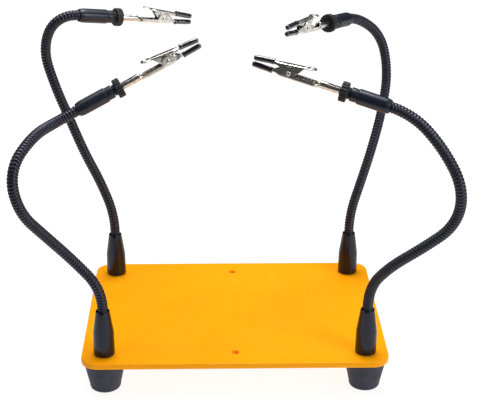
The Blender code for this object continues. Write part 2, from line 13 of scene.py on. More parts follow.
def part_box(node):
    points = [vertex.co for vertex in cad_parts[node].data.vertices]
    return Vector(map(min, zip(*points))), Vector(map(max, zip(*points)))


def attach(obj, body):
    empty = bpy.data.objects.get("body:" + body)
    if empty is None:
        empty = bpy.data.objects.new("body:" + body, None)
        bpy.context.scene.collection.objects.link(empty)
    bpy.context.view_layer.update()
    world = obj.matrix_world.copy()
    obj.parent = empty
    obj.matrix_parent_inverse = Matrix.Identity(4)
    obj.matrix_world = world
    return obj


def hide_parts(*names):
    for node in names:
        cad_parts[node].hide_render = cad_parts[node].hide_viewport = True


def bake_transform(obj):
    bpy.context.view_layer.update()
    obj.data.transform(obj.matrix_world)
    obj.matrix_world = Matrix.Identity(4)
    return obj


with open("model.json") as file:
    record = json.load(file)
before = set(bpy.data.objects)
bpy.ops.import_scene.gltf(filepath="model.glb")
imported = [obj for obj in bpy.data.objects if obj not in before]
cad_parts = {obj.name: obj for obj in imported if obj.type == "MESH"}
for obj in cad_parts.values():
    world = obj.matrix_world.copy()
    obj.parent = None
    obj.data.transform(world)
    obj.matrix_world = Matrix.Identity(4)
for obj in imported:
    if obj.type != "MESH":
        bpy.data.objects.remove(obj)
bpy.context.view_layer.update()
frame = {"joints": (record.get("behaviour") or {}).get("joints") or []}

ARM_NAMES = ("front_left", "front_right", "rear_left", "rear_right")
JOINTS = {joint["name"]: joint for joint in frame["joints"]}

# Base plate and what is screwed to its corners, as the CAD has them.
PLATE_EDGE_RADIUS = 0.0006
PLATE_CORNER_RADIUS = 0.011
CENTRE_HOLE_RADIUS = 0.0024
CENTRE_HOLE_SPACING = 0.117
SCREW_HOLE_RADIUS = 0.0024
HOLE_CHAMFER = 0.00025
FOOT_TOP_RADIUS = 0.0138
FOOT_BOTTOM_RADIUS = 0.0098
FOOT_RECESS_RADIUS = 0.0048
SCREW_RADIUS = 0.0020
SCREW_HEAD_RADIUS = 0.0040
SCREW_HEAD_HEIGHT = 0.0028
COLLAR_RADIUS = 0.0069
COLLAR_TOP_RADIUS = 0.0044
COLLAR_SHOULDER = 0.0155
SOCKET_RADIUS = 0.0038
SOCKET_DEPTH = 0.0060

# Gooseneck: its ribs wind around it as one helix, and its skin starts a little way down in the
# post's mouth.
GOOSENECK_RADIUS = 0.0035
GOOSENECK_LENGTH = 0.186
GOOSENECK_PIECES = 3
RIB_PITCH = 0.0021
RIB_DEPTH = 0.00050
CROWN_POWER = 0.8
GROOVE_POWER = 0.9
RINGS_PER_RIB = 8
SKIN_SIDES = 28
MOUTH_DEPTH = 0.0045

# End sleeve and swivelling nut.
SLEEVE_RADIUS = 0.0048
SLEEVE_STEP_RADIUS = 0.0043
SLEEVE_LENGTH = 0.0250
SLEEVE_STEP = 0.0042
NUT_NECK_LENGTH = 0.0015
NUT_NECK_RADIUS = 0.0036
NUT_RADIUS = 0.0062
NUT_LENGTH = 0.0045
NUT_RIDGES = 18
NUT_RIDGE_DEPTH = 0.00045
NUT_SIDES_PER_RIDGE = 8
NUT_PLUG_RADIUS = 0.0013
SPIGOT_RADIUS = 0.0029
SPIGOT_LENGTH = 0.0012
NUT_PLUG_LENGTH = 0.0080
GAP = 0.0003

# Clip, in its own frame: X runs from the barrel's rear end to the jaw tips, +Z is towards the pad.
SHEET = 0.00055
BARREL_RADIUS = 0.0024
BARREL_LENGTH = 0.0122
BARREL_HALF_WIDTH = 0.0021
WIDE_SLOT = 38  # the slot's half angle, in degrees
NARROW_SLOT = 16
PIVOT_X = 0.0324
PIVOT_Z = 0.0009
EAR_RADIUS = 0.0042
EAR_FRONT = 0.88  # where the ear's arch ends in front, as a share of its radius
PIN_RADIUS = 0.0009
PIN_CLEARANCE = 0.0001
PIN_HOLE_REACH = 0.006
PIN_HEAD_RADIUS = 0.0015
PIN_HEAD_DISH = 0.0004
BODY_HALF_WIDTH = 0.0033
BODY_BEND = 0.0009
JAW_HALF_WIDTH = 0.0023
JAW_BEND = 0.0008
LEVER_HALF_WIDTH = 0.0016
NOSE_HALF_WIDTH = 0.00095
NOSE_HEIGHT = 0.0013
NECK_HALF_WIDTH = 0.00122
NECK_HEIGHT = 0.0018
NOSE_TAPER_LENGTH = 0.002
NOSE_END_X = 0.0540
FIXED_NOSE_Z = -0.0020
JAW_TOP_Z = 0.0062
JAW_SLOPE = 0.115
THUMB_PAD_X = 0.0200
THUMB_PAD_RADIUS = 0.0036
THUMB_HOLE_RADIUS = 0.0014
COVER_START_X = 0.0425
COVER_LENGTH = 0.0130
COVER_RADIUS = 0.0019
SPRING_WIRE = 0.00028
SPRING_MEAN_RADIUS = 0.00155
SPRING_HALF_WIDTH = 0.00105
SPRING_TURNS = 3.25
STEPS_PER_TURN = 20
SPRING_SIDES = 10

# How many points each part of a folded sheet's outline has.
WALL_POINTS = 5
BEND_POINTS = 6
FLOOR_POINTS = 5
SECTION_POINTS = 2 * WALL_POINTS + 2 * BEND_POINTS + FLOOR_POINTS

# The gooseneck's headings at equal stations from the collar to the sleeve, as the CAD has them.
# A heading is a tilt from the vertical and a compass angle from +X, in degrees.
HEADINGS = {
    "front_left": (
        (0, 0), (40, 180), (40, -150), (40, -140), (10, -140), (60, 60), (90, 65), (65, 15),
    ),
    "front_right": (
        (0, 0), (39, -53), (49, -31), (47, -22), (16, -79), (36, 140), (56, 136), (76, 164),
    ),
    "rear_left": (
        (0, 0), (20, 170), (25, -150), (20, 180), (20, -175), (15, 175), (30, -40), (100, 30),
    ),
    "rear_right": (
        (0, 0), (18, 19), (24, 42), (30, 58), (24, 68), (14, 146), (55, -148), (83, -123),
    ),
}

# Camera and room.  The floor starts just outside the view, so that the clips reflect a darker room.
CAMERA_PLACE = (-0.0153, -0.7598, 0.4343)
CAMERA_YAW = 1.51
CAMERA_PITCH = 23.40
CAMERA_ROLL = 0.32
CAMERA_LENS = 92.3
CAMERA_SENSOR = 36
CAMERA_CLIP = (0.01, 50)
FLOOR_WIDTH = 3.0
FLOOR_TURN = -35.5
FLOOR_FRONT = 0.342
FLOOR_BACK = 1.5
FLOOR_DROP = 0.0002
FLOOR_GLOW = 0.90
ROOM_GLOW = 0.075

# Finishes: the tint of black surfaces' gloss, and how satin ones lose it towards a shape's rim.
COOL_GLOSS = (0.85, 0.87, 1.0, 1)
RIM_GLOSS = 0.08
RIM_START = 0.35
RIM_END = 0.9

# Meshes.
SHARP_ANGLE = math.radians(38)
RIB_SHARP_ANGLE = math.radians(70)
BEVEL_ANGLE = math.radians(50)
BEVEL_SEGMENTS = 2
ON_AXIS = 1e-7
Z_TO_X = Matrix.Rotation(math.radians(90), 4, "Y")
Z_TO_Y = Matrix.Rotation(math.radians(-90), 4, "X")


def new_object(name, data):
    """A new object in the scene."""
    thing = bpy.data.objects.new(name, data)
    bpy.context.scene.collection.objects.link(thing)
    return thing


# ---------------- camera, floor and lights

def add_camera():
    """The camera, from its place and its three turns."""
    yaw, pitch, roll = (math.radians(angle) for angle in (CAMERA_YAW, CAMERA_PITCH, CAMERA_ROLL))
    flat = math.cos(pitch)
    ahead = Vector((math.sin(yaw) * flat, math.cos(yaw) * flat, -math.sin(pitch)))
    level = Vector((math.cos(yaw), -math.sin(yaw), 0))
    above = level.cross(ahead)
    right = level * math.cos(roll) + above * math.sin(roll)
    up = above * math.cos(roll) - level * math.sin(roll)
    data = bpy.data.cameras.new("camera")
    data.lens = CAMERA_LENS
    data.sensor_width = CAMERA_SENSOR
    data.clip_start, data.clip_end = CAMERA_CLIP
    camera = new_object("camera", data)
    turn = Matrix((right, up, -ahead)).transposed().to_4x4()
    camera.matrix_world = Matrix.Translation(CAMERA_PLACE) @ turn
    bpy.context.scene.camera = camera


def add_softbox(name, place, target, width, height, power, colour=(1, 1, 1)):
    """A rectangular area light that faces its target."""
    data = bpy.data.lights.new(name, "AREA")
    data.shape = "RECTANGLE"
    data.size = width
    data.size_y = height
    data.energy = power
    data.color = colour
    light = new_object(name, data)
    light.location = place
    light.rotation_mode = "QUATERNION"
    light.rotation_quaternion = (Vector(target) - Vector(place)).to_track_quat("-Z", "Y")


def add_world():
    """Pale surroundings: white to the camera, and much dimmer where they light the object."""
    world = bpy.data.worlds.new("studio")
    bpy.context.scene.world = world
    world.use_nodes = True
    nodes = world.node_tree.nodes
    links = world.node_tree.links
    nodes.clear()
    output = nodes.new("ShaderNodeOutputWorld")
    seen = nodes.new("ShaderNodeBackground")
    seen.inputs["Color"].default_value = (1.0, 1.0, 1.0, 1)
    lighting = nodes.new("ShaderNodeBackground")
    lighting.inputs["Color"].default_value = (0.92, 0.95, 1.0, 1)
    lighting.inputs["Strength"].default_value = ROOM_GLOW
    path = nodes.new("ShaderNodeLightPath")
    either = nodes.new("ShaderNodeMixShader")
    links.new(path.outputs["Is Camera Ray"], either.inputs[0])
    links.new(lighting.outputs[0], either.inputs[1])
    links.new(seen.outputs[0], either.inputs[2])
    links.new(either.outputs[0], output.inputs[0])


def add_floor():
    """A plain pale floor, lit a little from below like a light table."""
    half = FLOOR_WIDTH / 2
    turn = Matrix.Rotation(math.radians(FLOOR_TURN), 4, "Z")
    front, back = -FLOOR_FRONT, FLOOR_BACK
    corners = [(-half, front), (half, front), (half, back), (-half, back)]
    mesh = bpy.data.meshes.new("floor")
    mesh.from_pydata([turn @ Vector((x, y, -FLOOR_DROP)) for x, y in corners], [], [(0, 1, 2, 3)])
    floor = new_object("floor", mesh)
    material, shader, tree = new_finish("pale_floor")
    shader.inputs["Specular IOR Level"].default_value = 0.25
    grain = noise(tree, 40, 3)
    colour = ramp(tree, grain, (0.14, 0.14, 0.14), (0.17, 0.17, 0.17))
    surface(tree, shader, colour, span(tree, grain, 0.55, 0.7))
    shader.inputs["Emission Color"].default_value = (1.0, 1.0, 1.0, 1)
    shader.inputs["Emission Strength"].default_value = FLOOR_GLOW
    mesh.materials.append(material)


def light_the_room():
    """Soft studio light: two above, a key in front on the right, a fill on the left, one behind."""
    add_world()
    add_softbox("overhead", (0.0, 0.35, 1.5), (0, 0, 0.1), 1.8, 1.2, 16)
    add_softbox("accent", (0.0, 0.25, 1.45), (0, 0, 0.1), 0.6, 0.35, 9)
    add_softbox("key", (1.3, -1.1, 0.9), (0, 0, 0.12), 1.0, 0.9, 17, (1.0, 0.985, 0.97))
    add_softbox("fill", (-1.5, -0.3, 1.1), (0, 0, 0.12), 0.4, 0.8, 4, (0.93, 0.96, 1.0))
    add_softbox("back", (-0.2, 1.3, 1.7), (0, 0, 0.15), 1.4, 0.6, 6)


# ---------------- finishes

def new_finish(name):
    """An empty Principled material, with its shader and its node tree."""
    material = bpy.data.materials.new(name)
    material.use_nodes = True
    tree = material.node_tree
    return material, tree.nodes["Principled BSDF"], tree


def coordinates(tree, stretch=(1, 1, 1)):
    """Object coordinates, scaled along each axis."""
    source = tree.nodes.new("ShaderNodeTexCoord")
    mapping = tree.nodes.new("ShaderNodeMapping")
    mapping.inputs["Scale"].default_value = stretch
    tree.links.new(source.outputs["Object"], mapping.inputs["Vector"])
    return mapping.outputs["Vector"]


def noise(tree, scale, detail, stretch=(1, 1, 1)):
    """A noise value from 0 to 1, whose features are about 1 / scale metres."""
    node = tree.nodes.new("ShaderNodeTexNoise")
    node.inputs["Scale"].default_value = scale
    node.inputs["Detail"].default_value = detail
    tree.links.new(coordinates(tree, stretch), node.inputs["Vector"])
    return node.outputs["Fac"]


def ramp(tree, value, low, high, start=0.3, end=0.7):
    """A colour that runs from low to high as the value goes from start to end."""
    node = tree.nodes.new("ShaderNodeValToRGB")
    first, last = node.color_ramp.elements
    first.position = start
    first.color = (*low, 1)
    last.position = end
    last.color = (*high, 1)
    tree.links.new(value, node.inputs["Fac"])
    return node.outputs["Color"]


def span(tree, value, low, high, start=0.3, end=0.7):
    """A number that runs from low to high as the value goes from start to end."""
    node = tree.nodes.new("ShaderNodeMapRange")
    sockets = ("From Min", "From Max", "To Min", "To Max")
    for socket, number in zip(sockets, (start, end, low, high)):
        node.inputs[socket].default_value = number
    tree.links.new(value, node.inputs["Value"])
    return node.outputs["Result"]


def mixed(tree, share, body, patch):
    """The body's colour, with a plain colour mixed in by a share."""
    node = tree.nodes.new("ShaderNodeMix")
    node.data_type = "RGBA"
    tree.links.new(share, node.inputs["Factor"])
    tree.links.new(body, node.inputs[6])
    node.inputs[7].default_value = (*patch, 1)
    return node.outputs[2]


def edges(tree, start, end):
    """1 on convex edges and 0 elsewhere."""
    geometry = tree.nodes.new("ShaderNodeNewGeometry")
    return span(tree, geometry.outputs["Pointiness"], 0, 1, start, end)


def times(tree, first, second):
    """The product of two values."""
    node = tree.nodes.new("ShaderNodeMath")
    node.operation = "MULTIPLY"
    tree.links.new(first, node.inputs[0])
    tree.links.new(second, node.inputs[1])
    return node.outputs[0]


def surface(tree, shader, colour, roughness):
    """Link the shader's colour and roughness."""
    tree.links.new(colour, shader.inputs["Base Color"])
    tree.links.new(roughness, shader.inputs["Roughness"])


def satin_rim(tree, shader, level):
    """Give the shader a cool gloss that falls towards a shape's rim, as on satin black surfaces."""
    shader.inputs["Specular Tint"].default_value = COOL_GLOSS
    weight = tree.nodes.new("ShaderNodeLayerWeight")
    weight.inputs["Blend"].default_value = 0.5
    socket = shader.inputs["Specular IOR Level"]
    # for the export, which drops the link
    socket.default_value = level  # the gloss straight on, also kept as the socket's own value
    gloss = span(tree, weight.outputs["Facing"], level, RIM_GLOSS, RIM_START, RIM_END)
    tree.links.new(gloss, socket)


def bump(tree, shader, layers):
    """Relief from (value, depth in metres) pairs, one on top of the other."""
    normal = None
    for value, depth in layers:
        node = tree.nodes.new("ShaderNodeBump")
        node.inputs["Distance"].default_value = depth
        tree.links.new(value, node.inputs["Height"])
        if normal is not None:
            tree.links.new(normal, node.inputs["Normal"])
        normal = node.outputs["Normal"]
    tree.links.new(normal, shader.inputs["Normal"])


def orange_powder_coat(tree, shader):
    """Semi-gloss powder coat: orange peel, faint shade changes, and thinner paint on the edges."""
    cloud = noise(tree, 18, 2)
    peel = noise(tree, 620, 2)
    speck = noise(tree, 3800, 1)
    body = ramp(tree, cloud, (1.0, 0.352, 0.001), (1.0, 0.390, 0.003))
    patches = span(tree, noise(tree, 240, 4), 0.0, 0.35, 0.45, 0.7)
    worn = times(tree, edges(tree, 0.52, 0.62), patches)
    colour = mixed(tree, worn, body, (1.0, 0.56, 0.10))
    surface(tree, shader, colour, span(tree, peel, 0.19, 0.27))
    shader.inputs["Specular IOR Level"].default_value = 0.12
    bump(tree, shader, [(peel, 0.00003), (speck, 0.000004)])


def foot_rubber(tree, shader):
    """Moulded rubber: slate black, a fine stipple, and paler scuffs on the lower edge."""
    cloud = noise(tree, 160, 4)
    stipple = noise(tree, 2600, 2)
    body = ramp(tree, cloud, (0.024, 0.026, 0.038), (0.038, 0.040, 0.056))
    shader.inputs["Specular IOR Level"].default_value = 0.35
    shader.inputs["Specular Tint"].default_value = COOL_GLOSS
    scuffed = times(tree, edges(tree, 0.51, 0.58), span(tree, cloud, 0.1, 0.6))
    colour = mixed(tree, scuffed, body, (0.10, 0.10, 0.11))
    surface(tree, shader, colour, span(tree, stipple, 0.50, 0.68))
    bump(tree, shader, [(stipple, 0.00004), (cloud, 0.00003)])


def screw_steel(tree, shader):
    """Zinc-plated steel, turned, so that its fine lines run around it."""
    lines = noise(tree, 500, 3, (1, 1, 9))
    colour = ramp(tree, lines, (0.48, 0.49, 0.51), (0.62, 0.62, 0.61))
    surface(tree, shader, colour, span(tree, lines, 0.28, 0.42))
    shader.inputs["Metallic"].default_value = 1.0
    bump(tree, shader, [(lines, 0.00001)])


def collar_black(tree, shader):
    """Glossy moulded plastic, with faint flow marks and hairline scratches."""
    cloud = noise(tree, 130, 3)
    scratches = noise(tree, 900, 2, (1, 1, 0.06))
    colour = ramp(tree, cloud, (0.003, 0.003, 0.008), (0.006, 0.006, 0.015))
    surface(tree, shader, colour, span(tree, scratches, 0.11, 0.19))
    satin_rim(tree, shader, 0.42)
    bump(tree, shader, [(scratches, 0.0000015), (cloud, 0.00002)])


def gooseneck_black(tree, shader):
    """Black coated ribs: polished crowns, and dull grooves whose colour is darkened as painted
    shade.
    """
    groove = tree.nodes.new("ShaderNodeAttribute")
    groove.attribute_name = "groove"
    depth = groove.outputs["Fac"]
    cloud = noise(tree, 220, 3)
    grain = noise(tree, 2400, 2)
    crown = ramp(tree, cloud, (0.005, 0.006, 0.016), (0.009, 0.011, 0.026))
    # painted shade: the colour falls to near black down in the grooves, where shade falls between
    # the ribs
    colour = mixed(tree, depth, crown, (0.001, 0.001, 0.002))
    surface(tree, shader, colour, span(tree, depth, 0.24, 0.70, 0.0, 0.8))
    satin_rim(tree, shader, 0.55)
    bump(tree, shader, [(grain, 0.00001), (cloud, 0.00003)])


def sleeve_black(tree, shader):
    """Satin moulded plastic with faint draw lines along its length."""
    cloud = noise(tree, 150, 3)
    lines = noise(tree, 1500, 2, (0.05, 1, 1))
    colour = ramp(tree, cloud, (0.007, 0.010, 0.017), (0.013, 0.016, 0.026))
    surface(tree, shader, colour, span(tree, lines, 0.26, 0.38))
    satin_rim(tree, shader, 0.50)
    bump(tree, shader, [(lines, 0.000008), (cloud, 0.00002)])


def nut_black(tree, shader):
    """Dull charcoal plastic, rubbed grey along the ridges' crowns."""
    cloud = noise(tree, 300, 3)
    grain = noise(tree, 2800, 2)
    body = ramp(tree, cloud, (0.010, 0.011, 0.013), (0.020, 0.021, 0.025))
    shader.inputs["Specular IOR Level"].default_value = 0.35
    rubbed = times(tree, edges(tree, 0.53, 0.66), span(tree, cloud, 0.2, 0.7))
    colour = mixed(tree, rubbed, body, (0.060, 0.062, 0.068))
    surface(tree, shader, colour, span(tree, grain, 0.40, 0.58))
    bump(tree, shader, [(grain, 0.00002)])


def nickel_steel(tree, shader):
    """Nickel-plated stamped sheet: warm, with rolling lines, cloudy patches and bright edges."""
    cloud = noise(tree, 420, 4)
    lines = noise(tree, 1800, 3, (0.06, 1, 1))
    body = ramp(tree, cloud, (0.50, 0.47, 0.43), (0.78, 0.75, 0.70))
    colour = mixed(tree, edges(tree, 0.52, 0.60), body, (0.90, 0.88, 0.84))
    surface(tree, shader, colour, span(tree, cloud, 0.32, 0.17))
    shader.inputs["Metallic"].default_value = 1.0
    bump(tree, shader, [(lines, 0.000008), (cloud, 0.00003)])


def spring_steel(tree, shader):
    """Dark drawn spring wire."""
    cloud = noise(tree, 1500, 3)
    colour = ramp(tree, cloud, (0.16, 0.15, 0.14), (0.34, 0.32, 0.30))
    surface(tree, shader, colour, span(tree, cloud, 0.28, 0.42))
    shader.inputs["Metallic"].default_value = 1.0
    bump(tree, shader, [(cloud, 0.00001)])


def cover_black(tree, shader):
    """Dipped vinyl: black under a clear glossy coat, with dipping marks around it."""
    rings = noise(tree, 700, 2, (1, 0.3, 0.3))
    cloud = noise(tree, 380, 3)
    colour = ramp(tree, cloud, (0.003, 0.003, 0.006), (0.008, 0.007, 0.012))
    surface(tree, shader, colour, span(tree, cloud, 0.18, 0.28))
    shader.inputs["Coat Weight"].default_value = 1.0
    shader.inputs["Coat IOR"].default_value = 1.9
    shader.inputs["Coat Roughness"].default_value = 0.16
    bump(tree, shader, [(rings, 0.00005), (cloud, 0.00003)])


# ---------------- shapes

def finished_mesh(name, shape, smooth_angle=SHARP_ANGLE):
    """Turn a finished bmesh into a mesh with faces pointing out and round parts smooth."""
    bmesh.ops.recalc_face_normals(shape, faces=shape.faces)
    mesh = bpy.data.meshes.new(name)
    shape.to_mesh(mesh)
    shape.free()
    mesh.shade_smooth()
    mesh.set_sharp_from_angle(angle=smooth_angle)
    return mesh


def bridge(shape, first, second):
    """Join two rings of the same count, or a ring and a single point."""
    count = max(len(first), len(second))
    for index in range(count):
        following = (index + 1) % count
        corners = [first[index % len(first)], first[following % len(first)]]
        corners += [second[following % len(second)], second[index % len(second)]]
        distinct = list(dict.fromkeys(corners))
        shape.faces.new(distinct)


def closed_skin(name, shape, rings, smooth_angle=SHARP_ANGLE):
    """A mesh over rings of equal point counts, with flat ends."""
    for lower, upper in zip(rings, rings[1:]):
        bridge(shape, lower, upper)
    shape.faces.new(reversed(rings[0]))
    shape.faces.new(rings[-1])
    return finished_mesh(name, shape, smooth_angle)


def lofted(name, sections):
    """A solid through closed sections of equal point counts."""
    shape = bmesh.new()
    rings = [[shape.verts.new(point) for point in section] for section in sections]
    return closed_skin(name, shape, rings)


def turned(name, profile, sides):
    """A solid of revolution about Z.  Without ends on the axis, the profile closes on itself."""
    shape = bmesh.new()
    rings = []
    for radius, height in profile:
        if radius < ON_AXIS:
            rings.append([shape.verts.new((0, 0, height))])
            continue
        around = [2 * math.pi * step / sides for step in range(sides)]
        ring = [(radius * math.cos(angle), radius * math.sin(angle), height) for angle in around]
        rings.append([shape.verts.new(point) for point in ring])
    for lower, upper in zip(rings, rings[1:]):
        bridge(shape, lower, upper)
    if profile[0][0] > ON_AXIS:
        bridge(shape, rings[-1], rings[0])
    return finished_mesh(name, shape)


def arc(centre, radius, start, end, steps):
    """Points on an arc, in degrees, both ends included."""
    angles = [math.radians(start + (end - start) * step / steps) for step in range(steps + 1)]
    x, y = centre
    return [(x + radius * math.cos(angle), y + radius * math.sin(angle)) for angle in angles]


def filleted(corners, steps=5):
    """An outline through (a, b, radius) corners, rounded except for the first and the last."""
    points = [corners[0][:2]]
    for before, corner, after in zip(corners, corners[1:], corners[2:]):
        here = Vector(corner[:2])
        radius = corner[2]
        if radius == 0:
            points.append(tuple(here))
            continue
        back = (Vector(before[:2]) - here).normalized()
        ahead = (Vector(after[:2]) - here).normalized()
        half = back.angle(ahead) / 2
        centre = here + (back + ahead).normalized() * radius / math.sin(half)
        first = here + back * radius / math.tan(half) - centre
        last = here + ahead * radius / math.tan(half) - centre
        swing = math.atan2(first.x * last.y - first.y * last.x, first.dot(last))
        for step in range(steps + 1):
            angle = swing * step / steps
            c, s = math.cos(angle), math.sin(angle)
            across = centre.x + first.x * c - first.y * s
            along = centre.y + first.x * s + first.y * c
            points.append((across, along))
    points.append(corners[-1][:2])
    return points


def combined(mesh, tools, bevel=None):
    """The mesh with each tool cut from it or joined to it, and its sharp edges bevelled."""
    base = new_object("blank", mesh)
    helpers = []
    for operation, tool_mesh in tools:
        helper = new_object("tool", tool_mesh)
        modifier = base.modifiers.new("Boolean", "BOOLEAN")
        modifier.operation = operation
        modifier.solver = "EXACT"
        modifier.object = helper
        helpers.append(helper)
    if bevel:
        modifier = base.modifiers.new("Bevel", "BEVEL")
        modifier.width = bevel
        modifier.segments = BEVEL_SEGMENTS
        modifier.limit_method = "ANGLE"
        modifier.angle_limit = BEVEL_ANGLE
    bpy.context.view_layer.update()
    graph = bpy.context.evaluated_depsgraph_get()
    result = bpy.data.meshes.new_from_object(base.evaluated_get(graph))
    for thing in [base, *helpers]:
        bpy.data.objects.remove(thing)
    result.name = mesh.name
    result.shade_smooth()
    result.set_sharp_from_angle(angle=SHARP_ANGLE)
    return result


def moved(mesh, change):
    """The same mesh after a change of frame."""
    mesh.transform(change)
    return mesh


def bar(radius, low, high, sides):
    """A plain round bar about Z, for cuts."""
    return turned("bar", [(0, low), (radius, low), (radius, high), (0, high)], sides)


def wire(name, points, radius, sides):
    """A round wire through points, with closed ends."""
    path = [Vector(point) for point in points]
    aim = (path[1] - path[0]).normalized()
    side = aim.orthogonal().normalized()
    sections = []
    for index, point in enumerate(path):
        before = path[max(index - 1, 0)]
        after = path[min(index + 1, len(path) - 1)]
        turn_aim = (after - before).normalized()
        side = aim.rotation_difference(turn_aim) @ side
        aim = turn_aim
        angles = [2 * math.pi * step / sides for step in range(sides)]
        sections.append([point + Matrix.Rotation(a, 3, aim) @ side * radius for a in angles])
    return lofted(name, sections)


# ---------------- plate, feet and collars

def rounded_rectangle(half_length, half_depth, radius, steps):
    """Corner arcs of a rounded rectangle, anticlockwise."""
    outline = []
    for quarter, (side_x, side_y) in enumerate(((1, 1), (-1, 1), (-1, -1), (1, -1))):
        centre = (side_x * (half_length - radius), side_y * (half_depth - radius))
        outline += arc(centre, radius, 90 * quarter, 90 * quarter + 90, steps)
    return outline


def hole_cutter(radius, low, high):
    """A bar that also breaks both rims of the hole it cuts."""
    wide = radius + HOLE_CHAMFER
    over = 2 * HOLE_CHAMFER
    profile = [(0, low - over), (wide + over, low - over), (radius, low + HOLE_CHAMFER)]
    profile += [(radius, high - HOLE_CHAMFER), (wide + over, high + over), (0, high + over)]
    return turned("hole", profile, sides=32)


def base_plate():
    """Steel plate with softly rounded edges and corners, and six drilled holes."""
    low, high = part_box("base_plate")
    edge = PLATE_EDGE_RADIUS
    rim = []
    for angle in range(-90, 1, 18):
        lean = math.radians(angle)
        rim.append((edge * (1 - math.cos(lean)), low.z + edge * (1 + math.sin(lean))))
    rim += [(step_in, low.z + high.z - height) for step_in, height in reversed(rim)]
    support = edge * 1.5
    rim = [(support, low.z), *rim, (support, high.z)]
    sections = []
    for step_in, height in rim:
        corner = PLATE_CORNER_RADIUS - step_in
        outline = rounded_rectangle(high.x - step_in, high.y - step_in, corner, steps=16)
        sections.append([(x, y, height) for x, y in outline])
    holes = [(SCREW_HOLE_RADIUS, JOINTS[f"{name}_lower_bend"]["pos_m"]) for name in ARM_NAMES]
    holes += [(CENTRE_HOLE_RADIUS, (0, side * CENTRE_HOLE_SPACING / 2, 0)) for side in (-1, 1)]
    cuts = []
    for radius, (x, y, _) in holes:
        cutter = hole_cutter(radius, low.z, high.z)
        cuts.append(("DIFFERENCE", moved(cutter, Matrix.Translation((x, y, 0)))))
    return combined(lofted("base_plate", sections), cuts)


def foot():
    """Tapered rubber foot with a rolled lower edge, a moulded step and a deep counterbore."""
    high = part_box("front_left_foot")[1].z
    slope = (FOOT_TOP_RADIUS - FOOT_BOTTOM_RADIUS) / high
    bead = 0.0022
    bead_radius = FOOT_BOTTOM_RADIUS + slope * bead
    ceiling = high / 2
    corners = [
        (FOOT_RECESS_RADIUS + 0.0002, 0.0012, 0),
        (FOOT_RECESS_RADIUS + 0.0012, 0.0, 0.0006),
        (FOOT_BOTTOM_RADIUS - 0.0002, 0.0, 0.0014),
        (bead_radius, bead, 0.0001),
        (bead_radius - 0.00012, bead + 0.0002, 0.0001),
        (FOOT_TOP_RADIUS, high, 0.0005),
        (SCREW_HOLE_RADIUS, high, 0),
        (SCREW_HOLE_RADIUS, ceiling, 0),
        (FOOT_RECESS_RADIUS, ceiling, 0.0004),
        (FOOT_RECESS_RADIUS, 0.0014, 0),
    ]
    return turned("foot", filleted(corners), sides=64)


def foot_screw():
    """Pan-head screw with a cross recess."""
    low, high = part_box("front_left_foot_screw")
    seat = low.z + SCREW_HEAD_HEIGHT
    corners = [
        (0, low.z, 0),
        (SCREW_HEAD_RADIUS, low.z, 0.0013),
        (SCREW_HEAD_RADIUS, seat, 0.0002),
        (SCREW_RADIUS, seat, 0.0001),
        (SCREW_RADIUS, high.z, 0.0005),
        (0, high.z, 0),
    ]
    reach = 0.0021
    half = 0.00045
    outline = [(-reach, -half), (reach, -half), (reach, half), (-reach, half)]
    mouth_and_end = ((low.z - 0.0005, 1.0), (low.z + 0.0014, 0.45))
    arms = []
    for turn in (0, 90):
        sections = [[(x * share, y, z) for x, y in outline] for z, share in mouth_and_end]
        slot = moved(lofted("slot", sections), Matrix.Rotation(math.radians(turn), 4, "Z"))
        arms.append(("DIFFERENCE", slot))
    return combined(turned("foot_screw", filleted(corners), sides=32), arms)


def base_collar():
    """Moulded post: a gently tapering drum, a soft shoulder and a cone up to its mouth."""
    low, high = (corner.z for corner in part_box("front_left_base_collar"))
    shoulder = low + COLLAR_SHOULDER
    bore_end = low + 0.0100
    socket_end = high - SOCKET_DEPTH
    corners = [
        (0, bore_end, 0),
        (SCREW_HOLE_RADIUS, bore_end, 0),
        (SCREW_HOLE_RADIUS, low, 0),
        (COLLAR_RADIUS, low, 0.0007),
        (COLLAR_RADIUS, low + 0.0020, 0.0008),
        (COLLAR_RADIUS - 0.00015, shoulder, 0.0080),
        (COLLAR_TOP_RADIUS + 0.0003, high - 0.0014, 0.0010),
        (COLLAR_TOP_RADIUS + 0.0001, high, 0.0003),
        (SOCKET_RADIUS + 0.0001, high, 0.00012),
        (SOCKET_RADIUS, socket_end, 0),
        (0, socket_end, 0),
    ]
    return turned("base_collar", filleted(corners, steps=6), sides=56)


# ---------------- gooseneck

def heading_vector(heading):
    """Unit vector for a tilt from the vertical and a compass angle, in degrees."""
    tilt, compass = (math.radians(angle) for angle in heading)
    flat = math.sin(tilt)
    return Vector((flat * math.cos(compass), flat * math.sin(compass), math.cos(tilt)))


def direction_at(headings, share):
    """The gooseneck's direction at a share of its length, turning evenly between stations."""
    place_along = min(max(share, 0.0), 1.0) * (len(headings) - 1)
    station = min(int(place_along), len(headings) - 2)
    before, after = (heading_vector(heading) for heading in headings[station:station + 2])
    return before.lerp(after, place_along - station).normalized()


def gooseneck_frames(start, headings, lengths):
    """(centre, direction, side) at each length; the first may be below the start, straight down."""
    side = heading_vector(headings[0]).orthogonal().normalized()
    aim = heading_vector(headings[0])
    centre = start + aim * lengths[0]
    frames = [(centre.copy(), aim.copy(), side.copy())]
    for before, after in zip(lengths, lengths[1:]):
        halfway = (before + after) / 2 / GOOSENECK_LENGTH
        centre = centre + direction_at(headings, halfway) * (after - before)
        turn_aim = direction_at(headings, after / GOOSENECK_LENGTH)
        side = aim.rotation_difference(turn_aim) @ side
        aim = turn_aim
        frames.append((centre.copy(), aim.copy(), side.copy()))
    return frames


def groove_share(length, angle):
    """How deep into the groove between two ribs a place is: 0 on a crown, 1 at the bottom."""
    phase = length / RIB_PITCH - angle / (2 * math.pi)
    return (1 - abs(math.sin(math.pi * phase)) ** CROWN_POWER) ** GROOVE_POWER


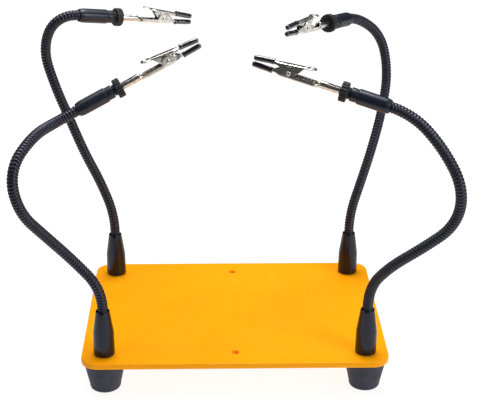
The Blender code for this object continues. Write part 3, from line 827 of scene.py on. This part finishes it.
def gooseneck_skin(name, frames, lengths):
    """One closed stretch of ribbed gooseneck, with its grooves marked for the finish's roughness
    and painted shade.
    """
    shape = bmesh.new()
    groove = shape.verts.layers.float.new("groove")
    rings = []
    for length, (centre, aim, side) in zip(lengths, frames):
        ring = []
        across = aim.cross(side)
        for step in range(SKIN_SIDES):
            angle = 2 * math.pi * step / SKIN_SIDES
            depth = groove_share(length, angle)
            radius = GOOSENECK_RADIUS - RIB_DEPTH * depth
            outward = side * math.cos(angle) + across * math.sin(angle)
            vert = shape.verts.new(centre + outward * radius)
            vert[groove] = depth
            ring.append(vert)
        rings.append(ring)
    return closed_skin(name, shape, rings, RIB_SHARP_ANGLE)


def nearest(lengths, wanted):
    """The number of the length that is nearest to the one wanted."""
    return min(range(len(lengths)), key=lambda step: abs(lengths[step] - wanted))


def add_gooseneck(name, finish):
    """Three skins, each bent across one joint, that meet where neither bends."""
    start = Vector(JOINTS[f"{name}_lower_bend"]["pos_m"])
    end = GOOSENECK_LENGTH + SOCKET_DEPTH - 2 * GAP
    count = round((end + MOUTH_DEPTH) / RIB_PITCH * RINGS_PER_RIB)
    lengths = [-MOUTH_DEPTH + (end + MOUTH_DEPTH) * step / count for step in range(count + 1)]
    frames = gooseneck_frames(start, HEADINGS[name], lengths)
    piece_length = GOOSENECK_LENGTH / GOOSENECK_PIECES
    first = 0
    for number, level in enumerate(("lower", "middle", "upper")):
        joint_at = number * piece_length
        last = count if level == "upper" else nearest(lengths, joint_at + piece_length / 2)
        skin_name = f"{name}_gooseneck_{level}_skin"
        mesh = gooseneck_skin(skin_name, frames[first:last + 1], lengths[first:last + 1])
        mesh.materials.append(finish)
        skin = new_object(skin_name, mesh)
        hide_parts(f"{name}_gooseneck_{level}")
        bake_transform(skin)
        first = last


# ---------------- sleeve and nut

def end_sleeve():
    """Moulded sleeve: a tapered mouth, a smooth barrel, and a narrower ring past a fine groove."""
    ring = SLEEVE_LENGTH - SLEEVE_STEP
    groove_radius = SLEEVE_STEP_RADIUS - 0.0002
    bore_radius = SPIGOT_RADIUS + 0.0002
    bore_end = SLEEVE_LENGTH - SPIGOT_LENGTH - GAP
    corners = [
        (0, SOCKET_DEPTH, 0),
        (SOCKET_RADIUS, SOCKET_DEPTH, 0),
        (SOCKET_RADIUS, 0.0, 0.0001),
        (SOCKET_RADIUS + 0.0004, 0.0, 0.0002),
        (SLEEVE_RADIUS, 0.0030, 0.0030),
        (SLEEVE_RADIUS, ring - 0.0006, 0.0003),
        (groove_radius, ring - 0.0001, 0.0001),
        (groove_radius, ring + 0.0003, 0.0001),
        (SLEEVE_STEP_RADIUS, ring + 0.0005, 0.0001),
        (SLEEVE_STEP_RADIUS, SLEEVE_LENGTH, 0.0005),
        (bore_radius, SLEEVE_LENGTH, 0.0001),
        (bore_radius, bore_end, 0),
        (0, bore_end, 0),
    ]
    return moved(turned("end_sleeve", filleted(corners), sides=48), Z_TO_X)


def swivel_nut():
    """Thumb nut with rounded ridges, a dished front, a neck behind it and a plug in front."""
    back = NUT_NECK_LENGTH
    front = NUT_NECK_LENGTH + NUT_LENGTH
    plug_end = front + NUT_PLUG_LENGTH
    edge = 0.0007
    dish = front - 0.0008
    # Each corner is a radius, a place along the axis and how far the ridges stand out there.
    corners = [
        (SPIGOT_RADIUS, -SPIGOT_LENGTH - GAP, 0),
        (SPIGOT_RADIUS, 0, 0),
        (NUT_NECK_RADIUS - 0.0002, 0, 0),
        (NUT_NECK_RADIUS, 0.0002, 0),
        (NUT_NECK_RADIUS, back - 0.0003, 0),
        (NUT_NECK_RADIUS + 0.0003, back, 0),
    ]
    for face, inward, angles in ((back, 1, range(90, -1, -18)), (front, -1, range(0, 91, 18))):
        for angle in angles:
            lean = math.radians(angle)
            radius = NUT_RADIUS - edge * (1 - math.cos(lean))
            corners.append((radius, face + inward * edge * (1 - math.sin(lean)), math.cos(lean)))
    corners += [
        (0.0046, front, 0),
        (0.0043, front - 0.0002, 0),
        (0.0036, dish, 0),
        (NUT_PLUG_RADIUS + 0.0003, dish, 0),
        (NUT_PLUG_RADIUS, dish + 0.0003, 0),
        (NUT_PLUG_RADIUS, plug_end - 0.0003, 0),
        (NUT_PLUG_RADIUS - 0.0003, plug_end, 0),
    ]
    sides = NUT_RIDGES * NUT_SIDES_PER_RIDGE
    sections = []
    for radius, along, ridged in corners:
        section = []
        for step in range(sides):
            angle = 2 * math.pi * step / sides
            groove = abs(math.sin(NUT_RIDGES * angle / 2)) ** 3
            reach = radius - NUT_RIDGE_DEPTH * groove * ridged
            section.append((reach * math.cos(angle), reach * math.sin(angle), along))
        sections.append(section)
    return moved(lofted("swivel_nut", sections), Z_TO_X)


# ---------------- clip

def even_steps(first, last, count):
    """Points from first up to but not including last."""
    a, b = Vector(first), Vector(last)
    return [tuple(a.lerp(b, step / count)) for step in range(count)]


def fold_path(half_width, floor, rim, bend):
    """A folded channel's outer line in (y, z): down the left wall, over the floor, up the right."""
    rise = floor + bend
    flat = half_width - bend
    path = even_steps((-half_width, rim), (-half_width, rise), WALL_POINTS)
    path += arc((-flat, rise), bend, 180, 270, BEND_POINTS - 1)
    path += even_steps((-flat, floor), (flat, floor), FLOOR_POINTS + 1)[1:]
    path += arc((flat, rise), bend, 270, 360, BEND_POINTS - 1)
    path += [(half_width, z) for _, z in even_steps((0, rise), (0, rim), WALL_POINTS)[1:]]
    path.append((half_width, rim))
    return path


def roll_path(radius, slot):
    """A rolled tube's outer line in (y, z), from one lip of its slot, at the top, to the other."""
    return arc((0, 0), radius, 90 + slot, 450 - slot, SECTION_POINTS - 1)


def sheet_section(x, outer, inner):
    """The closed ring around a sheet at a place along the clip, from its outer and inner lines."""
    return [(x, y, z) for y, z in outer + inner[::-1]]


def fold_section(x, half_width, floor, rim, bend):
    """A folded channel's section: down the left wall, along the floor and up the right wall."""
    outer = fold_path(half_width, floor, rim, bend)
    inner = fold_path(half_width - SHEET, floor + SHEET, rim, bend - SHEET)
    return sheet_section(x, outer, inner)


def roll_section(x, radius, slot):
    """A rolled tube's section, open at the top by the slot's half angle on each side."""
    return sheet_section(x, roll_path(radius, slot), roll_path(radius - SHEET, slot))


def blended_section(first, second, share):
    """A section part of the way between two others."""
    return [tuple(Vector(a).lerp(Vector(b), share)) for a, b in zip(first, second)]


def flipped(section):
    """The same section upside down."""
    return [(x, y, -z) for x, y, z in section]


def ease(value, start, end):
    """0 before start, 1 after end, and smooth between."""
    share = min(max((value - start) / (end - start), 0), 1)
    return share * share * (3 - 2 * share)


def steps_between(first, last, count):
    """Evenly spaced numbers, both ends included."""
    return [first + (last - first) * step / (count - 1) for step in range(count)]


def nose_taper(x):
    """How far a jaw's nose has tapered at a place: 0 at the cover's mouth, 1 further inside it."""
    return ease(x, COVER_START_X, COVER_START_X + NOSE_TAPER_LENGTH)


def nose_half_width(x):
    """Half width of either jaw's nose: wide at the cover's mouth, narrower inside it."""
    return NECK_HALF_WIDTH + (NOSE_HALF_WIDTH - NECK_HALF_WIDTH) * nose_taper(x)


def nose_stations():
    """Where either jaw's nose has its sections."""
    return steps_between(COVER_START_X + 0.0007, COVER_START_X + 0.0023, 4) + [NOSE_END_X]


def pin_hole():
    """A cutter for the rivet's hole through both halves."""
    drill = bar(PIN_RADIUS + PIN_CLEARANCE, -PIN_HOLE_REACH, PIN_HOLE_REACH, sides=20)
    return moved(drill, Matrix.Translation((PIVOT_X, 0, PIVOT_Z)) @ Z_TO_Y)


def body_rim(x):
    """Height of the fixed half's walls along the clip."""
    rail = 0.0002
    waist = -0.0011
    ear_end = PIVOT_X + EAR_FRONT * EAR_RADIUS
    if x < PIVOT_X - EAR_RADIUS:
        return waist + (rail - waist) * ease(x, BARREL_LENGTH + 0.0006, BARREL_LENGTH + 0.0032)
    if x < ear_end:
        arch = math.sqrt(max(EAR_RADIUS ** 2 - (x - PIVOT_X) ** 2, 0))
        return max(PIVOT_Z + arch, rail)
    shoulder = PIVOT_Z + EAR_RADIUS * math.sqrt(1 - EAR_FRONT ** 2)
    front = FIXED_NOSE_Z + NECK_HEIGHT + (NOSE_HEIGHT - NECK_HEIGHT) * nose_taper(x)
    return shoulder + (front - shoulder) * ease(x, ear_end, COVER_START_X + 0.0004)


def body_half_width(x):
    """Half width of the fixed half along the clip."""
    widening = ease(x, BARREL_LENGTH, BARREL_LENGTH + 0.0042)
    narrowing = ease(x, PIVOT_X + EAR_RADIUS, COVER_START_X - 0.0004)
    wide = BARREL_HALF_WIDTH + (BODY_HALF_WIDTH - BARREL_HALF_WIDTH) * widening
    return wide + (nose_half_width(x) - wide) * narrowing


def body_floor(x):
    """Height of the fixed half's underside along the clip."""
    rise = ease(x, PIVOT_X + EAR_RADIUS, COVER_START_X)
    return -BARREL_RADIUS + (FIXED_NOSE_Z + BARREL_RADIUS) * rise


def body_section(x):
    """The fixed half's section at a place along the clip."""
    half = body_half_width(x)
    return fold_section(x, half, body_floor(x), body_rim(x), min(BODY_BEND, half * 0.62))


def clip_body():
    """The fixed half, stamped from one sheet: split barrel, channel, ears and jaw."""
    sections = []
    lip = 0.0003
    slot_step = (0.0078, 0.0084)
    for x in (0.0, lip, 0.0040, *slot_step, BARREL_LENGTH - 0.0006, BARREL_LENGTH):
        slot = WIDE_SLOT - (WIDE_SLOT - NARROW_SLOT) * ease(x, *slot_step)
        drawn_in = 0.0001 * (1 - ease(x, 0, lip))
        sections.append(roll_section(x, BARREL_RADIUS - drawn_in, slot))
    opening_length = 0.0018
    opening_steps = 5
    for step in range(1, opening_steps + 1):
        x = BARREL_LENGTH + opening_length * step / opening_steps
        rolled = roll_section(x, BARREL_RADIUS, NARROW_SLOT)
        sections.append(blended_section(rolled, body_section(x), ease(step, 0, opening_steps)))
    stations = steps_between(BARREL_LENGTH + 0.0023, BARREL_LENGTH + 0.0045, 5)
    stations += steps_between(BARREL_LENGTH + 0.0075, PIVOT_X - EAR_RADIUS - 0.0002, 3)
    stations += [PIVOT_X - EAR_RADIUS * math.cos(math.radians(angle)) for angle in range(4, 150, 8)]
    stations += steps_between(PIVOT_X + EAR_RADIUS, COVER_START_X, 8)
    stations += nose_stations()
    sections += [body_section(x) for x in stations]
    return combined(lofted("clip_body", sections), [("DIFFERENCE", pin_hole())], bevel=0.00009)


def jaw_top(x):
    """Height of the moving jaw's top sheet, which falls towards the tip."""
    return JAW_TOP_Z - JAW_SLOPE * (x - PIVOT_X)


def jaw_depth(x):
    """How far the moving jaw's flanges hang below its top sheet."""
    lip = 0.0009
    skirt = 0.0014
    lobe_drop = 0.0017
    deep = jaw_top(x) - (PIVOT_Z - lobe_drop)
    if x < PIVOT_X:
        curl = lip + (skirt - lip) * ease(x, THUMB_PAD_X + 0.004, PIVOT_X - 0.005)
        return curl + (deep - curl) * min(max((x - PIVOT_X + 0.0086) / 0.0058, 0), 1)
    tapered = NECK_HEIGHT + 0.0006 * (1 - ease(x, PIVOT_X + 0.006, COVER_START_X))
    tapered += (NOSE_HEIGHT - NECK_HEIGHT) * nose_taper(x)
    return deep + (tapered - deep) * ease(x, PIVOT_X + 0.0008, PIVOT_X + 0.0070)


def jaw_half_width(x):
    """Half width of the moving jaw along the clip."""
    widening = ease(x, THUMB_PAD_X + 0.0024, THUMB_PAD_X + 0.0062)
    narrowing = ease(x, PIVOT_X + 0.0052, COVER_START_X)
    wide = LEVER_HALF_WIDTH + (JAW_HALF_WIDTH - LEVER_HALF_WIDTH) * widening
    return wide + (nose_half_width(x) - wide) * narrowing


def jaw_section(x):
    """The moving half's section at a place along the clip."""
    half = jaw_half_width(x)
    top = -jaw_top(x)
    return flipped(fold_section(x, half, top, top + jaw_depth(x), min(JAW_BEND, half * 0.6)))


def thumb_pad():
    """A dished pad with a hole and a rolled rim, at the lever's end."""
    corners = [
        (THUMB_HOLE_RADIUS, -SHEET * 0.9, 0),
        (THUMB_HOLE_RADIUS, -0.00015, 0.0002),
        (THUMB_PAD_RADIUS * 0.62, 0.0, 0.0008),
        (THUMB_PAD_RADIUS * 0.84, 0.0, 0.0007),
        (THUMB_PAD_RADIUS, -0.0006, 0.0002),
        (THUMB_PAD_RADIUS - SHEET, -0.0008, 0.0001),
        (THUMB_PAD_RADIUS * 0.78 - 0.0001, -SHEET, 0.0004),
        (THUMB_HOLE_RADIUS, -SHEET, 0),
    ]
    lean = Matrix.Rotation(math.atan(JAW_SLOPE), 4, "Y")
    place = Matrix.Translation((THUMB_PAD_X, 0, jaw_top(THUMB_PAD_X))) @ lean
    return moved(turned("pad", filleted(corners, steps=4), sides=40), place)


def clip_jaw():
    """The moving half: a thumb pad, a folded lever, flanges on the rivet and a nose."""
    stations = steps_between(THUMB_PAD_X + 0.0018, PIVOT_X - 0.0092, 4)
    stations += steps_between(PIVOT_X - 0.0086, PIVOT_X - 0.0028, 12)
    stations += steps_between(PIVOT_X - 0.0018, PIVOT_X + 0.0064, 14)
    stations += steps_between(PIVOT_X + 0.0070, COVER_START_X, 7)
    stations += nose_stations()
    lever = lofted("clip_jaw", [jaw_section(x) for x in stations])
    return combined(lever, [("UNION", thumb_pad()), ("DIFFERENCE", pin_hole())], bevel=0.00008)


def clip_pin():
    """Hollow rivet through the ears, peened over on both sides."""
    inside = BODY_HALF_WIDTH + 0.00005
    outside = inside + 0.0008
    dish = outside - PIN_HEAD_DISH
    half = [
        (PIN_RADIUS, inside, 0.0001),
        (PIN_HEAD_RADIUS, inside, 0.00015),
        (PIN_HEAD_RADIUS - 0.0002, outside - 0.0001, 0.0005),
        (0.0006, outside, 0.0001),
        (0.00035, dish, 0.0001),
    ]
    corners = [(0, -dish, 0)]
    corners += [(radius, -along, fillet) for radius, along, fillet in reversed(half)]
    corners += half
    corners += [(0, dish, 0)]
    pin = moved(turned("clip_pin", filleted(corners, steps=4), sides=28), Z_TO_Y)
    return moved(pin, Matrix.Translation((PIVOT_X, 0, PIVOT_Z)))


def clip_spring():
    """Torsion spring around the rivet, with the leg that presses on the fixed half."""
    coil = []
    steps = round(SPRING_TURNS * STEPS_PER_TURN)
    for step in range(steps + 1):
        angle = 2 * math.pi * SPRING_TURNS * step / steps + math.radians(180)
        across = -SPRING_HALF_WIDTH + 2 * SPRING_HALF_WIDTH * step / steps
        x, z = SPRING_MEAN_RADIUS * math.cos(angle), SPRING_MEAN_RADIUS * math.sin(angle)
        coil.append((x, across, z))
    across = coil[0][1]
    floor = -BARREL_RADIUS + SHEET + SPRING_WIRE * 1.3 - PIVOT_Z
    rises = ((-0.0062, 0), (-0.0040, 0.0001), (-0.0024, 0.0007))
    leg = [(x, across, floor + rise) for x, rise in rises]
    mesh = wire("clip_spring", leg + coil, SPRING_WIRE, SPRING_SIDES)
    return moved(mesh, Matrix.Translation((PIVOT_X, 0, PIVOT_Z)))


def spring_leg():
    """The spring's other leg, which presses the thumb lever up."""
    route = [(PIVOT_X - 0.0012, PIVOT_Z + 0.0012), (PIVOT_X - 0.0024, PIVOT_Z + 0.0026)]
    for x in (PIVOT_X - 0.0050, PIVOT_X - 0.0068):
        route.append((x, jaw_top(x) - SHEET - SPRING_WIRE * 1.4))
    points = [(x, SPRING_HALF_WIDTH, z) for x, z in route]
    return wire("spring_leg", points, SPRING_WIRE, SPRING_SIDES)


def jaw_cover(name, rear, front):
    """Vinyl sleeve over a jaw's nose: a rolled mouth, a slight waist and a soft closed tip."""
    corners = [
        (0, COVER_LENGTH - 0.0012, 0),
        (0.0014, COVER_LENGTH - 0.0014, 0.0004),
        (0.00150, 0.0006, 0),
        (0.00155, 0.0, 0.00012),
        (COVER_RADIUS, 0.0, 0.00018),
        (COVER_RADIUS, 0.0010, 0.0006),
        (COVER_RADIUS - 0.00018, 0.0026, 0.0020),
        (COVER_RADIUS - 0.00012, COVER_LENGTH * 0.62, 0.0040),
        (COVER_RADIUS - 0.00025, COVER_LENGTH, 0.0011),
        (0, COVER_LENGTH, 0),
    ]
    cover = moved(turned(name, filleted(corners), sides=36), Z_TO_X)
    rise = (front[1] - rear[1]) / (front[0] - rear[0])
    lean = Matrix.Rotation(-math.atan(rise), 4, "Y")
    return moved(cover, Matrix.Translation((rear[0], 0, rear[1])) @ lean)


def fixed_jaw_cover():
    """Cover on the fixed jaw, centred on its nose."""
    middle = FIXED_NOSE_Z + NOSE_HEIGHT / 2
    return jaw_cover("fixed_jaw_cover", (COVER_START_X, middle), (NOSE_END_X, middle + 0.0002))


def moving_jaw_cover():
    """Cover on the moving jaw, centred on its nose."""
    half = NOSE_HEIGHT / 2
    ends = [(x, jaw_top(x) - half) for x in (COVER_START_X, NOSE_END_X)]
    return jaw_cover("moving_jaw_cover", *ends)


# ---------------- assembly

def add_piece(name, mesh, finish, place, body, stands_for=None):
    """Put one piece in the scene, on a CAD body, mostly in the place of a CAD node."""
    if not mesh.materials:  # the four arms share their meshes
        mesh.materials.append(finish)
    piece = new_object(name, mesh)
    piece.matrix_world = place
    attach(piece, body)
    if stands_for:
        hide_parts(stands_for)


def add_arm(name, meshes, finishes):
    """One arm, from its foot to its clip."""
    x, y, _ = JOINTS[f"{name}_lower_bend"]["pos_m"]
    at_post = Matrix.Translation((x, y, 0))
    rows = (("foot", "foot_rubber"), ("foot_screw", "screw_steel"), ("base_collar", "collar_black"))
    for part, finish in rows:
        node = f"{name}_{part}"
        add_piece(f"{node}_shell", meshes[part], finishes[finish], at_post, "base", node)
    add_gooseneck(name, finishes["gooseneck_black"])

    swivel = JOINTS[f"{name}_clip_swivel"]
    forward = Vector(swivel["axis"]).normalized()
    side = Vector((0, 0, 1)).cross(forward).normalized()
    turn = Matrix((forward, side, forward.cross(side))).transposed().to_4x4()
    at_nut = Matrix.Translation(swivel["pos_m"]) @ turn
    at_sleeve = at_nut @ Matrix.Translation((-SLEEVE_LENGTH - GAP, 0, 0))
    at_clip = at_nut @ Matrix.Translation((NUT_NECK_LENGTH + NUT_LENGTH + GAP, 0, 0))
    rows = (
        ("end_sleeve", "sleeve_black", at_sleeve, "upper"),
        ("swivel_nut", "nut_black", at_nut, "clip"),
        ("clip_body", "nickel_steel", at_clip, "clip"),
        ("clip_pin", "nickel_steel", at_clip, "clip"),
        ("clip_spring", "spring_steel", at_clip, "clip"),
        ("fixed_jaw_cover", "cover_black", at_clip, "clip"),
        ("clip_jaw", "nickel_steel", at_clip, "jaw"),
        ("moving_jaw_cover", "cover_black", at_clip, "jaw"),
    )
    for part, finish, place, end in rows:
        node = f"{name}_{part}"
        body = f"{name}_{end}"
        add_piece(f"{node}_shell", meshes[part], finishes[finish], place, body, node)
    add_piece(
        f"{name}_spring_leg", meshes["spring_leg"], finishes["spring_steel"],
        at_clip, f"{name}_jaw",
    )


def main():
    """The room, the finishes, the plate and the four arms."""
    bpy.context.scene.view_settings.view_transform = "Standard"
    add_camera()
    add_floor()
    light_the_room()
    makers = (orange_powder_coat, foot_rubber, screw_steel, collar_black, gooseneck_black)
    makers += (sleeve_black, nut_black, nickel_steel, spring_steel, cover_black)
    finishes = {}
    for maker in makers:
        finishes[maker.__name__], shader, tree = new_finish(maker.__name__)
        maker(tree, shader)
    shapes = (foot, foot_screw, base_collar, end_sleeve, swivel_nut, clip_body, clip_jaw, clip_pin)
    shapes += (clip_spring, spring_leg, fixed_jaw_cover, moving_jaw_cover)
    meshes = {shape.__name__: shape() for shape in shapes}
    add_piece(
        "plate_shell", base_plate(), finishes["orange_powder_coat"],
        Matrix.Identity(4), "base", "base_plate",
    )
    for name in ARM_NAMES:
        add_arm(name, meshes, finishes)


main()
